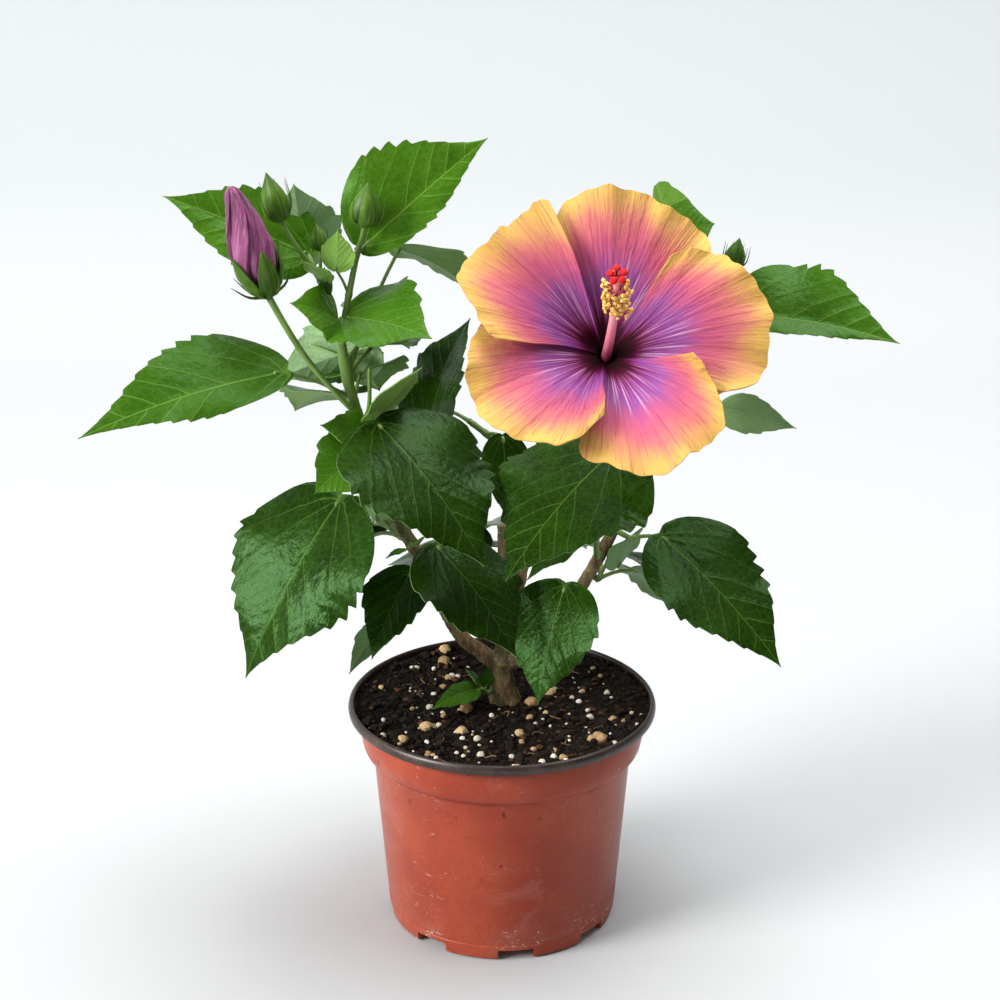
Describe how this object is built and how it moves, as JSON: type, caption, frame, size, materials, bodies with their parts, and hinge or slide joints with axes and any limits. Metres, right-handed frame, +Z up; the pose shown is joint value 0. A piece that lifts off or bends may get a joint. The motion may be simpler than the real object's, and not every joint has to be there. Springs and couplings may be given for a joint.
{
  "type": "potted hibiscus shrub",
  "caption": "Small hibiscus shrub with an open bloom, buds and toothed leaves on forked woody boughs, growing in a round nursery pot.",
  "frame": {"origin": "middle of the pot's flat underside", "axes": "+Z up along the pot's axis; the bloom faces -Y, the front; +X to the right as seen from the front"},
  "size_m": [0.3202, 0.1991, 0.332],
  "materials": {
    "terracotta_plastic": "satin",
    "dark_plastic": "satin",
    "peat": "matte",
    "bark": "matte",
    "leaf_green": "satin",
    "leaf_young": "satin",
    "petal": "soft",
    "bud_purple": "soft"
  },
  "bodies": {
    "root": {"pot": "terracotta_plastic", "pot_lip": "dark_plastic", "soil": "peat", "trunk": "bark", "bough_left": "bark", "bough_right": "bark", "bough_back": "bark", "bough_pruned": "bark", "bloom": "petal", "bud_opening": "bud_purple", "foliage_left_front": "leaf_green", "foliage_left_low": "leaf_green", "foliage_middle_front": "leaf_green", "foliage_front_right": "leaf_green", "foliage_foot": "leaf_green", "foliage_right_low": "leaf_green", "foliage_right_crown": "leaf_green", "foliage_left_inner": "leaf_green", "foliage_left_behind": "leaf_green", "foliage_right_under": "leaf_green", "foliage_back_left": "leaf_green", "foliage_back_right": "leaf_green", "foliage_back_high": "leaf_green", "foliage_back_low": "leaf_green", "foliage_left_crown": "leaf_young", "foliage_left_sprig": "leaf_young", "foliage_basal": "leaf_young"}
  },
  "joints": []
}
